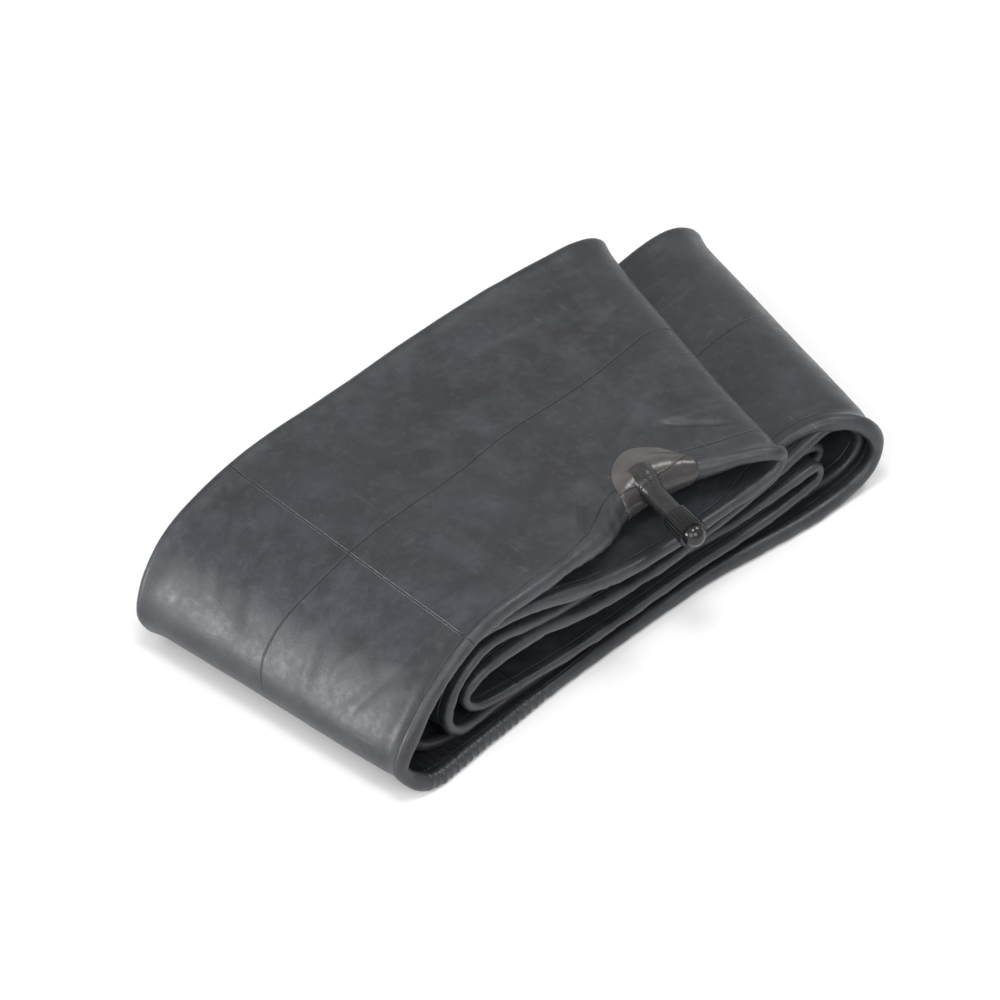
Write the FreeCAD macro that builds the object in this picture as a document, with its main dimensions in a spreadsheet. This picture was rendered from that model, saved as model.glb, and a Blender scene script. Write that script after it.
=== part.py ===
import FreeCAD, Part
import math
import os
import Sketcher

# Folded bicycle inner tube with its valve.
# The empty tube is pressed flat into a band, the ring of band is pressed into a double
# strip, and the strip is rolled up and laid on its side.
#
# Frame: Z = 0 is the surface the roll lies on.  X runs along the roll, from the outer left
# fold to the outer right fold.  Y runs from the front edge of the band, where the valve
# stands out, to its back edge.  The origin is the middle of the resting face.  Millimetres.

doc = FreeCAD.newDocument("inner_tube")
V = FreeCAD.Vector


# ---------------------------------------------------------------- dimensions

SIZES = [
    # flat tube
    ("tube_width", 132.0),        # edge to edge of the flat tube
    ("band_thick", 2.8),          # two walls and the film of air between them
    ("air_film", 0.5),            # gap left between the two walls
    ("edge_wall", 3.5),           # solid rubber along each folded edge
    ("fan_rate", 0.146),          # the back edge is longer than the front by this much
    ("fan_start", 8.0),           # where the fan begins, from the left fold
    ("front_edge", -66.0),        # Y of the front edge
    ("left_fold", -140.0),        # X of the outer left fold
    # valve position
    ("valve_along", 155.0),       # from the left fold
    ("valve_back", 19.5),         # from the front edge
    ("valve_up", 49.05),          # middle of the band that carries the valve
    ("valve_yaw", 15.0),          # stem's turn from -Y towards -X, degrees
    # recess of the band's edge at the valve
    ("recess_half", 22.0),
    ("recess_mouth", 44.0),
    ("recess_depth", 46.0),
    ("recess_high", 12.0),
    ("recess_wall", 3.0),
    # reinforcing patch
    ("patch_radius", 20.0),
    ("patch_thick", 1.0),
    ("hub_root", 7.0),
    ("hub_tip", 5.6),
    ("hub_back", 5.0),
    ("hub_front", 3.0),
    # rubber covered stem
    ("cover_radius", 4.2),
    ("cover_foot", 4.8),
    ("cover_foot_len", 5.0),
    ("cover_start", 1.0),
    ("cover_end", 20.6),
    ("insert_radius", 2.95),
    # brass stem, thread 8V1
    ("stem_flange", 3.9),
    ("stem_flange_len", 0.8),
    ("stem_start", 1.6),
    ("thread_root", 3.38),
    ("thread_crest", 3.85),
    ("thread_start", 21.6),
    ("thread_end", 32.0),
    ("stem_tip", 32.6),
    ("air_bore", 1.3),
    ("core_bore", 2.35),
    ("core_mouth", 2.65),
    ("core_floor", 15.0),
    ("core_step", 27.4),
    ("core_taper", 26.4),
    # valve core
    ("plug_radius", 2.6),
    ("plug_bottom", 27.6),
    ("plug_shoulder", 30.4),
    ("plug_top", 32.2),
    ("plug_flat", 1.6),
    ("pin_hole", 0.95),
    ("barrel_radius", 2.05),
    ("barrel_bore", 1.6),
    ("barrel_bottom", 19.4),
    ("barrel_floor", 0.8),
    ("barrel_neck", 1.85),
    ("gasket_low", 24.0),
    ("gasket_high", 26.0),
    ("gasket_radius", 2.3),
    ("gasket_taper", 2.1),
    ("pin_radius", 0.6),
    ("pin_low", 16.9),
    ("pin_high", 32.5),
    ("pin_head", 0.8),
    ("pin_head_len", 0.5),
    ("collar_radius", 1.25),
    ("collar_low", 25.6),
    ("collar_high", 26.2),
    ("spring_radius", 1.05),
    ("spring_wire", 0.14),
    ("spring_turns", 7.0),
    ("cup_radius", 1.9),
    ("cup_low", 17.4),
    ("cup_high", 19.1),
    ("cup_wall", 0.35),
    ("seal_high", 19.3),
    # cap
    ("cap_radius", 5.3),
    ("cap_shoulder", 5.9),
    ("dome_radius", 4.6),
    ("cap_start", 20.9),
    ("cap_straight", 32.65),
    ("cap_bore", 3.97),
    ("cap_bore_end", 33.6),
    ("cap_rim", 1.1),
    ("flute_count", 24.0),
    ("flute_centre", 5.75),
    ("flute_radius", 0.55),
    ("flute_end", 33.0),
    ("washer_radius", 3.6),
    ("washer_low", 32.75),
    ("washer_high", 33.45),
]

sheet = doc.addObject("Spreadsheet::Sheet", "Sizes")
for row, (name, value) in enumerate(SIZES, start=1):
    sheet.set("A%d" % row, name)
    sheet.set("B%d" % row, str(value))
    sheet.setAlias("B%d" % row, name)
doc.recompute()


def size(name):
    return float(sheet.get(name))


def cell(text):
    """Put the sheet's name before every alias in an expression."""
    names = sorted((name for name, _ in SIZES), key=len, reverse=True)
    out = []
    word = ""
    for letter in text + " ":
        if letter.isalnum() or letter == "_":
            word += letter
            continue
        out.append("Sizes." + word if word in names else word)
        out.append(letter)
        word = ""
    return "".join(out).strip()


def bind(obj, **expressions):
    for prop, text in expressions.items():
        obj.setExpression(prop, cell(text))


# ------------------------------------------------------------- the folded band

# Middle line of the band along the front edge, as (X from the left fold, Z).
# It is one closed line, because the tube is a ring: the outer strip goes round to the
# inner end of the roll, turns there, and comes back as the inner strip.
RING = [
    # outer strip: top of the roll
    (205, 43.6), (194, 46.3), (176, 47.4), (158, 48.8), (140, 50.3), (122, 52.6),
    (100, 55.3), (78, 57.6), (60, 58.3),
    # outer left fold
    (46, 56), (34, 50.7), (22.5, 42.2), (12.8, 31.2), (6, 20.6), (3.6, 13.5),
    (4.8, 6.6), (9.8, 2.5),
    # bottom of the roll
    (18, 1.3), (34, 1.3), (60, 1.3), (100, 1.3), (140, 1.3), (180, 1.3), (215, 1.3),
    (236, 1.5),
    # outer right fold
    (249.5, 4.5), (256.6, 9.6), (259.4, 17), (257, 24.8), (250.3, 31), (241.5, 33.8),
    (232, 33.4),
    # second run along the top
    (220, 31), (204, 28.8), (180, 27.6), (150, 27.4), (120, 30.6), (95, 37),
    (75, 43.2), (60, 46.8),
    # second left fold
    (46, 45.6), (35.5, 38), (30, 27.5), (30.6, 17.5), (38.5, 10.8),
    # second run along the bottom
    (54, 8.6), (90, 8.4), (130, 8.4), (170, 8.4), (205, 8.5),
    # second right fold
    (222, 9.9), (232.5, 12.8), (237.6, 18.3), (234, 23.1), (224, 24.3),
    # last run, and the inner end of the roll
    (206, 22.3), (188, 21), (174, 20.6), (164, 20.4), (162.3, 19.7), (161.5, 17.9),
    (162.3, 16.1), (164, 15.4),
    # inner strip, coming back
    (174, 15.2), (188, 15.8), (206, 18.1), (220, 20.4), (227.6, 20.8), (230.2, 19.8),
    (231.2, 17.5), (230.2, 15.2), (227.6, 14.2), (220, 13.2), (204, 11.9), (170, 11.7), (130, 11.7), (90, 11.8),
    (63, 12), (48, 13.8), (39.8, 18.8), (37.8, 26.5), (41.2, 35), (50, 41),
    (61.5, 42.4), (75, 39.4), (95, 33.2), (120, 27), (150, 24), (180, 24.2),
    (204, 25.5), (220, 27.5), (232, 29.8), (241, 30.2), (248.4, 27.2), (253.8, 22),
    (255, 16.4), (252.6, 11), (246, 6.5), (236, 4.9), (205, 4.7), (140, 4.7),
    (90, 4.7), (52, 4.8), (36, 6.1), (26, 9.6), (19.8, 15.4), (18.8, 23),
    (22.8, 31.8), (30, 40.6), (39.5, 47.6), (51, 51.8), (64, 52.9), (80, 50.6),
    (100, 44.2), (125, 36.6), (150, 33.2), (180, 32.5), (198, 33.6),
    # front end of the outer strip
    (206, 36), (208.3, 39.6),
]


def ring_curve():
    """Smooth closed curve through RING, in the plane Y = 0."""
    points = [V(x, 0, z) for x, z in RING]
    knots = [0.0]
    for here, there in zip(points, points[1:] + points[:1]):
        knots.append(knots[-1] + here.distanceToPoint(there) ** 0.75)
    curve = Part.BSplineCurve()
    curve.interpolate(Points=points, PeriodicFlag=True, Parameters=knots)
    return curve, knots


def ring_point(curve, at, offset, depth):
    """Point beside the middle line, at a depth from the front edge."""
    mid = curve.value(at)
    along = curve.tangent(at)[0]
    spot = mid + V(-along.z, 0, along.x) * offset
    fan = size("fan_rate") * max(0.0, mid.x - size("fan_start"))
    return V(
        spot.x + fan * depth / size("tube_width") + size("left_fold"),
        depth + size("front_edge"),
        spot.z,
    )


def ring_edges(offset, depth):
    """Closed chain of smooth edges, one for each span of RING."""
    curve, knots = ring_curve()
    edges = []
    for low, high in zip(knots, knots[1:]):
        inner = [ring_point(curve, low + (high - low) * k / 4, offset, depth) for k in (1, 2, 3)]
        first = ring_point(curve, low, offset, depth)
        last = ring_point(curve, high % knots[-1], offset, depth)
        span = Part.BSplineCurve()
        span.interpolate(Points=[first] + inner + [last])
        edges.append(span.toShape())
    return edges


def ring_block(name, offset, near, far):
    """Solid inside the ring line, between two depths."""
    near_edges = ring_edges(offset, near)
    far_edges = ring_edges(offset, far)
    faces = [Part.makeRuledSurface(a, b) for a, b in zip(near_edges, far_edges)]
    faces += [Part.Face(Part.Wire(edges)) for edges in (near_edges, far_edges)]
    shell = Part.Shell(faces)
    shell.sewShape()
    solid = Part.Solid(shell)
    if solid.Volume < 0:
        solid.reverse()
    block = doc.addObject("Part::Feature", name)
    block.Shape = solid
    return block


def cut(name, base, tool):
    result = doc.addObject("Part::Cut", name)
    result.Base = base
    result.Tool = tool
    return result


def fuse(name, shapes):
    result = doc.addObject("Part::MultiFuse", name)
    result.Shapes = shapes
    return result


half_band = size("band_thick") / 2
half_film = size("air_film") / 2
margin = size("edge_wall")
width = size("tube_width")

# Which of the two lines encloses the other depends on the way the ring is run through.
band_outer = ring_block("band_outer", half_band, 0.0, width)
band_inner = ring_block("band_inner", -half_band, 0.0, width)
film_outer = ring_block("film_outer", half_film, margin, width - margin)
film_inner = ring_block("film_inner", -half_film, margin, width - margin)
doc.recompute()
if band_outer.Shape.Volume < band_inner.Shape.Volume:
    band_outer, band_inner = band_inner, band_outer
    film_outer, film_inner = film_inner, film_outer
band = cut("band", band_outer, band_inner)
film = cut("film", film_outer, film_inner)


# ------------------------------------------------------------ the valve's frame

# The valve's own Z runs out along the stem, its Y is square to the band that carries it.
yaw = math.radians(size("valve_yaw"))
band_up = V(0.080, -0.013, 1.0).normalize()
stem_out = V(-math.sin(yaw), -math.cos(yaw), 0)
stem_out = (stem_out - band_up * stem_out.dot(band_up)).normalize()
stem_side = band_up.cross(stem_out)
stem_turn = FreeCAD.Rotation(stem_side, band_up, stem_out, "ZXY")
valve_base = V(
    size("left_fold") + size("valve_along"),
    size("front_edge") + size("valve_back"),
    size("valve_up"),
)
VALVE = FreeCAD.Placement(valve_base, stem_turn)


def in_valve(x=0.0, y=0.0, z=0.0, turn=None):
    """Placement given in the valve's frame."""
    return VALVE.multiply(FreeCAD.Placement(V(x, y, z), turn or FreeCAD.Rotation()))


# ------------------------------------------------------------------------ tube

recess = doc.addObject("Part::Wedge", "recess")
bind(
    recess,
    Xmin="-recess_half", Xmax="recess_half", X2min="-recess_mouth", X2max="recess_mouth",
    Ymin="0", Ymax="recess_depth",
    Zmin="-recess_high / 2", Zmax="recess_high / 2",
    Z2min="-recess_high / 2", Z2max="recess_high / 2",
)
flat_turn = FreeCAD.Rotation(V(1, 0, 0), V(0, 0, 1), V(0, -1, 0), "ZXY")
recess.Placement = in_valve(turn=flat_turn)

deep_recess = doc.addObject("Part::Wedge", "deep_recess")
bind(
    deep_recess,
    Xmin="-recess_half - recess_wall", Xmax="recess_half + recess_wall",
    X2min="-recess_mouth - recess_wall", X2max="recess_mouth + recess_wall",
    Ymin="0", Ymax="recess_depth",
    Zmin="-recess_high / 2", Zmax="recess_high / 2",
    Z2min="-recess_high / 2", Z2max="recess_high / 2",
)
deep_recess.Placement = in_valve(z=-size("recess_wall"), turn=flat_turn)

# The underside is pressed flat by the surface it lies on.
ground = doc.addObject("Part::Box", "ground")
ground.Length = 400
ground.Width = 300
ground.Height = 20
ground.Placement = FreeCAD.Placement(V(-200, -150, -20), FreeCAD.Rotation())

air_hole = doc.addObject("Part::Cylinder", "air_hole")
bind(air_hole, Radius="air_film", Height="recess_wall + edge_wall")
air_hole.Placement = in_valve(z=-size("recess_wall") - size("edge_wall") + 1.0)

flat_band = cut("flat_band", band, ground)
open_band = cut("open_band", flat_band, recess)
open_film = cut("open_film", film, deep_recess)
hollow_band = cut("hollow_band", open_band, open_film)
tube = cut("tube", hollow_band, air_hole)


# ----------------------------------------------------------------------- patch

side_turn = FreeCAD.Rotation(V(0, 0, 1), V(1, 0, 0), V(0, 1, 0), "ZXY")
patch_disc = doc.addObject("Part::Cylinder", "patch_disc")
bind(patch_disc, Radius="patch_radius", Height="band_thick + 2 * patch_thick")
patch_disc.Placement = in_valve(y=-half_band - size("patch_thick"), turn=side_turn)

patch_front = doc.addObject("Part::Box", "patch_front")
bind(
    patch_front,
    Length="2 * recess_mouth", Width="recess_high", Height="recess_depth",
)
patch_front.Placement = in_valve(
    -size("recess_mouth"), -size("recess_high") / 2, size("patch_thick"))

patch_hub = doc.addObject("Part::Cone", "patch_hub")
bind(patch_hub, Radius1="hub_root", Radius2="hub_tip", Height="hub_back + hub_front")
patch_hub.Placement = in_valve(z=-size("hub_back"))

patch_socket = doc.addObject("Part::Cylinder", "patch_socket")
bind(patch_socket, Radius="cover_foot", Height="hub_front + 1")
patch_socket.Placement = in_valve(z=size("cover_start"))

patch_bore = doc.addObject("Part::Cylinder", "patch_bore")
bind(patch_bore, Radius="air_bore", Height="patch_thick + 4")
patch_bore.Placement = in_valve(z=-1.0)

patch_half = cut("patch_half", patch_disc, patch_front)
patch_solid = fuse("patch_solid", [patch_half, patch_hub])
patch_clear = cut("patch_clear", patch_solid, open_band)
patch_open = cut("patch_open", patch_clear, patch_socket)
valve_patch = cut("valve_patch", patch_open, patch_bore)


# -------------------------------------------------------------- turned pieces

def value(text):
    return float(sheet.evalExpression(cell(text)))


def outline(body, name, corners, plane_role="XZ_Plane"):
    """Closed sketch of straight lines; each corner is bound to the sheet."""
    plane = next(f for f in body.Origin.OriginFeatures if f.Role == plane_role)
    sketch = body.newObject("Sketcher::SketchObject", name)
    sketch.AttachmentSupport = [(plane, "")]
    sketch.MapMode = "FlatFace"
    spots = [V(value(across), value(up), 0) for across, up in corners]
    count = len(spots)
    for k in range(count):
        sketch.addGeometry(Part.LineSegment(spots[k], spots[(k + 1) % count]), False)
    for k in range(count):
        sketch.addConstraint(Sketcher.Constraint("Coincident", k, 2, (k + 1) % count, 1))
    for k, (across, up) in enumerate(corners):
        if spots[k].x == 0:
            sketch.addConstraint(Sketcher.Constraint("PointOnObject", k, 1, -2))
        else:
            index = sketch.addConstraint(
                Sketcher.Constraint("DistanceX", -1, 1, k, 1, spots[k].x))
            sketch.setExpression("Constraints[%d]" % index, cell(across))
        index = sketch.addConstraint(
            Sketcher.Constraint("DistanceY", -1, 1, k, 1, spots[k].y))
        sketch.setExpression("Constraints[%d]" % index, cell(up))
    return sketch


def turned(name, corners):
    """Body turned about its Z axis from (radius, height) corners in the valve's frame."""
    body = doc.addObject("PartDesign::Body", name)
    turn = body.newObject("PartDesign::Revolution", name + "_turn")
    sketch = outline(body, name + "_outline", corners)
    turn.Profile = sketch
    turn.ReferenceAxis = (sketch, ["V_Axis"])
    turn.Angle = 360
    body.Tip = turn
    body.Placement = VALVE
    return body


stem_rubber = turned("stem_rubber", [
    ("air_bore", "cover_start"),
    ("cover_foot", "cover_start"),
    ("cover_foot", "hub_front"),
    ("cover_radius", "cover_start + cover_foot_len"),
    ("cover_radius", "cover_end"),
    ("insert_radius", "cover_end"),
    ("insert_radius", "stem_start + stem_flange_len"),
    ("stem_flange", "stem_start + stem_flange_len"),
    ("stem_flange", "stem_start"),
    ("air_bore", "stem_start"),
])

stem_body = turned("stem_body", [
    ("air_bore", "stem_start"),
    ("stem_flange", "stem_start"),
    ("stem_flange", "stem_start + stem_flange_len"),
    ("insert_radius", "stem_start + stem_flange_len"),
    ("insert_radius", "cover_end"),
    ("thread_root", "cover_end"),
    ("thread_root", "thread_start"),
    ("thread_crest", "thread_start"),
    ("thread_crest", "thread_end"),
    ("thread_root", "stem_tip"),
    ("core_mouth", "stem_tip"),
    ("core_mouth", "core_step"),
    ("core_bore", "core_taper"),
    ("core_bore", "core_floor"),
    ("air_bore", "core_floor - 1"),
])

# The core's plug has two flats for the key that screws it in.
plug_blank = turned("plug_blank", [
    ("pin_hole", "plug_bottom"),
    ("plug_radius", "plug_bottom"),
    ("plug_radius", "plug_top"),
    ("pin_hole", "plug_top"),
])
flats = []
for name, along in (("flat_near", "near"), ("flat_far", "far")):
    flat = doc.addObject("Part::Box", name)
    bind(flat, Length="2 * plug_radius", Width="plug_radius", Height="plug_top")
    start = size("plug_flat") if along == "near" else -size("plug_flat") - size("plug_radius")
    flat.Placement = in_valve(-size("plug_radius"), start, size("plug_shoulder"))
    flats.append(flat)
plug_cutter = fuse("plug_cutter", flats)
core_plug = cut("core_plug", plug_blank, plug_cutter)

core_barrel = turned("core_barrel", [
    ("pin_hole", "barrel_bottom"),
    ("barrel_radius", "barrel_bottom"),
    ("barrel_radius", "gasket_low"),
    ("barrel_neck", "gasket_low"),
    ("barrel_neck", "gasket_high"),
    ("barrel_radius", "gasket_high"),
    ("barrel_radius", "plug_bottom"),
    ("barrel_bore", "plug_bottom"),
    ("barrel_bore", "barrel_bottom + barrel_floor"),
    ("pin_hole", "barrel_bottom + barrel_floor"),
])

barrel_gasket = turned("barrel_gasket", [
    ("barrel_neck", "gasket_low"),
    ("gasket_taper", "gasket_low"),
    ("gasket_radius", "gasket_high"),
    ("barrel_neck", "gasket_high"),
])

core_pin = turned("core_pin", [
    ("0", "pin_low"),
    ("pin_hole", "pin_low"),
    ("pin_hole", "cup_low"),
    ("pin_radius", "cup_low"),
    ("pin_radius", "pin_high - pin_head_len"),
    ("pin_head", "pin_high - pin_head_len"),
    ("pin_head", "pin_high"),
    ("0", "pin_high"),
])

spring_cup = turned("spring_cup", [
    ("pin_radius", "collar_low"),
    ("collar_radius", "collar_low"),
    ("collar_radius", "collar_high"),
    ("pin_radius", "collar_high"),
])

poppet_cup = turned("poppet_cup", [
    ("pin_radius", "cup_low"),
    ("cup_radius", "cup_low"),
    ("cup_radius", "cup_high"),
    ("cup_radius - cup_wall", "cup_high"),
    ("cup_radius - cup_wall", "cup_low + cup_wall"),
    ("pin_radius", "cup_low + cup_wall"),
])

poppet_seal = turned("poppet_seal", [
    ("pin_radius", "cup_low + cup_wall"),
    ("cup_radius - cup_wall", "cup_low + cup_wall"),
    ("cup_radius - cup_wall", "seal_high"),
    ("pin_radius", "seal_high"),
])

cap_washer = turned("cap_washer", [
    ("0", "washer_low"),
    ("washer_radius", "washer_low"),
    ("washer_radius", "washer_high"),
    ("0", "washer_high"),
])


# ---------------------------------------------------------------------- spring

core_spring = doc.addObject("PartDesign::Body", "core_spring")
xz_plane = next(f for f in core_spring.Origin.OriginFeatures if f.Role == "XZ_Plane")
wire_section = core_spring.newObject("Sketcher::SketchObject", "wire_section")
wire_section.AttachmentSupport = [(xz_plane, "")]
wire_section.MapMode = "FlatFace"
coil_low = "barrel_bottom + barrel_floor + spring_wire + 0.02"
wire_section.addGeometry(
    Part.Circle(V(size("spring_radius"), value(coil_low), 0), V(0, 0, 1),
                size("spring_wire")), False)
for kind, expression, args in (
    ("DistanceX", "spring_radius", (-1, 1, 0, 3)),
    ("DistanceY", coil_low, (-1, 1, 0, 3)),
    ("Radius", "spring_wire", (0,)),
):
    index = wire_section.addConstraint(Sketcher.Constraint(kind, *args, value(expression)))
    wire_section.setExpression("Constraints[%d]" % index, cell(expression))
doc.recompute()
coil = core_spring.newObject("PartDesign::AdditiveHelix", "coil")
coil.Profile = wire_section
coil.ReferenceAxis = (wire_section, ["V_Axis"])
coil.Mode = 2
coil_high = "collar_low - spring_wire - 0.02"
bind(coil, Height="%s - (%s)" % (coil_high, coil_low), Turns="spring_turns")
core_spring.Tip = coil
core_spring.Placement = VALVE


# ------------------------------------------------------------------------- cap

valve_cap = turned("valve_cap", [
    ("cap_bore", "cap_start"),
    ("cap_radius", "cap_start"),
    ("cap_shoulder", "cap_straight"),
    ("dome_radius", "cap_straight"),
    ("dome_radius", "cap_straight + dome_radius"),
    ("0", "cap_straight + dome_radius"),
    ("0", "cap_bore_end"),
    ("cap_bore", "cap_bore_end"),
])
doc.recompute()

# Round the end into a dome.
blank = valve_cap.Tip
top = size("cap_straight") + size("dome_radius")
rim = [
    "Edge%d" % (k + 1)
    for k, edge in enumerate(blank.Shape.Edges)
    if isinstance(edge.Curve, Part.Circle)
    and abs(edge.Curve.Center.z - top) < 0.01
    and abs(edge.Curve.Radius - size("dome_radius")) < 0.01
]
dome = valve_cap.newObject("PartDesign::Fillet", "dome")
dome.Base = (blank, rim)
bind(dome, Radius="dome_radius * 0.97")
valve_cap.Tip = dome
doc.recompute()

# Grip flutes along the flared part.
xy_plane = next(f for f in valve_cap.Origin.OriginFeatures if f.Role == "XY_Plane")
flute_section = valve_cap.newObject("Sketcher::SketchObject", "flute_section")
flute_section.AttachmentSupport = [(xy_plane, "")]
flute_section.MapMode = "FlatFace"
bind(flute_section, **{"AttachmentOffset.Base.z": "cap_start + cap_rim"})
flute_section.addGeometry(
    Part.Circle(V(size("flute_centre"), 0, 0), V(0, 0, 1), size("flute_radius")), False)
flute_section.addConstraint(Sketcher.Constraint("PointOnObject", 0, 3, -1))
for kind, alias, args in (
    ("DistanceX", "flute_centre", (-1, 1, 0, 3)),
    ("Radius", "flute_radius", (0,)),
):
    index = flute_section.addConstraint(Sketcher.Constraint(kind, *args, size(alias)))
    flute_section.setExpression("Constraints[%d]" % index, cell(alias))
doc.recompute()
flute = valve_cap.newObject("PartDesign::Pocket", "flute")
flute.Profile = flute_section
flute.Type = 0
flute.Reversed = True
bind(flute, Length="flute_end - cap_start - cap_rim")
valve_cap.Tip = flute
doc.recompute()
flutes = valve_cap.newObject("PartDesign::PolarPattern", "flutes")
flutes.Originals = [flute]
flutes.Axis = (flute_section, ["N_Axis"])
flutes.Angle = 360
bind(flutes, Occurrences="flute_count")
valve_cap.Tip = flutes
doc.recompute()
if not blank.Shape.Volume > dome.Shape.Volume > flute.Shape.Volume > flutes.Shape.Volume:
    raise RuntimeError("the cap's dome or flutes took nothing away")


# ---------------------------------------------------------------------- export

PARTS = [
    tube, valve_patch, stem_rubber, stem_body, core_plug, core_barrel, barrel_gasket,
    core_pin, core_spring, spring_cup, poppet_cup, poppet_seal, valve_cap, cap_washer,
]
doc.recompute()
for obj in doc.Objects:
    if {"Invalid", "Error"} & set(obj.State):
        raise RuntimeError("%s failed: %s" % (obj.Label, obj.State))
os.makedirs("parts", exist_ok=True)
for part in PARTS:
    shape = part.Shape
    if shape.isNull() or not shape.isValid() or len(shape.Solids) != 1:
        raise RuntimeError("%s is not one valid solid" % part.Label)
for part in PARTS:
    shape = part.Shape
    shape.exportStep("parts/%s.step" % part.Label)
    box = shape.BoundBox
    print("%-14s %9.1f mm3  X %.1f %.1f  Y %.1f %.1f  Z %.1f %.1f" % (
        part.Label, shape.Volume, box.XMin, box.XMax, box.YMin, box.YMax,
        box.ZMin, box.ZMax))
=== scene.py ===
import math
import bpy
import numpy as np
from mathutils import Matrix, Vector


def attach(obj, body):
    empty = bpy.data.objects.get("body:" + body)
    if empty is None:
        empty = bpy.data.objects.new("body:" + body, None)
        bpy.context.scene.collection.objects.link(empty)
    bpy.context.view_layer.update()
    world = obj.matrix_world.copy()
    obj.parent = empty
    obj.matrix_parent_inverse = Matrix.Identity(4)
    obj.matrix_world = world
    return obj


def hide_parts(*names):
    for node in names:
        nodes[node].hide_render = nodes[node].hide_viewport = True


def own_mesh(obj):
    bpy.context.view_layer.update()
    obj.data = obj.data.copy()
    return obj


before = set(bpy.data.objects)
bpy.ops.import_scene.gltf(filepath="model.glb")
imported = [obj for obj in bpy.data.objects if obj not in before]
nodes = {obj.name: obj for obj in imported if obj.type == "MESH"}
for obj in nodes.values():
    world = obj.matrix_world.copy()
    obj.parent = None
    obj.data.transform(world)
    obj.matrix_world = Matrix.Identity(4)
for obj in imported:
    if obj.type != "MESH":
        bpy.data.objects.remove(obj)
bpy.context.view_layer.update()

# Lengths below are in millimetres; X counts from the outer left fold, Y from the front edge.
MM = 0.001
LEFT, FRONT = -140.0, -66.0      # where the outer left fold and the front edge lie
WIDTH = 132.0                    # flat tube, edge to edge
HALF = 1.4                       # half of the pressed band's thickness
FAN_START, FAN = 8.0, 0.146      # the roll widens to the back, to the right of FAN_START
FLOOR_GAP = 0.05                 # the lowest rubber lies this far above the floor
VALVE_X, VALVE_Y, VALVE_Z = 155.0, 19.5, 49.05

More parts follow.
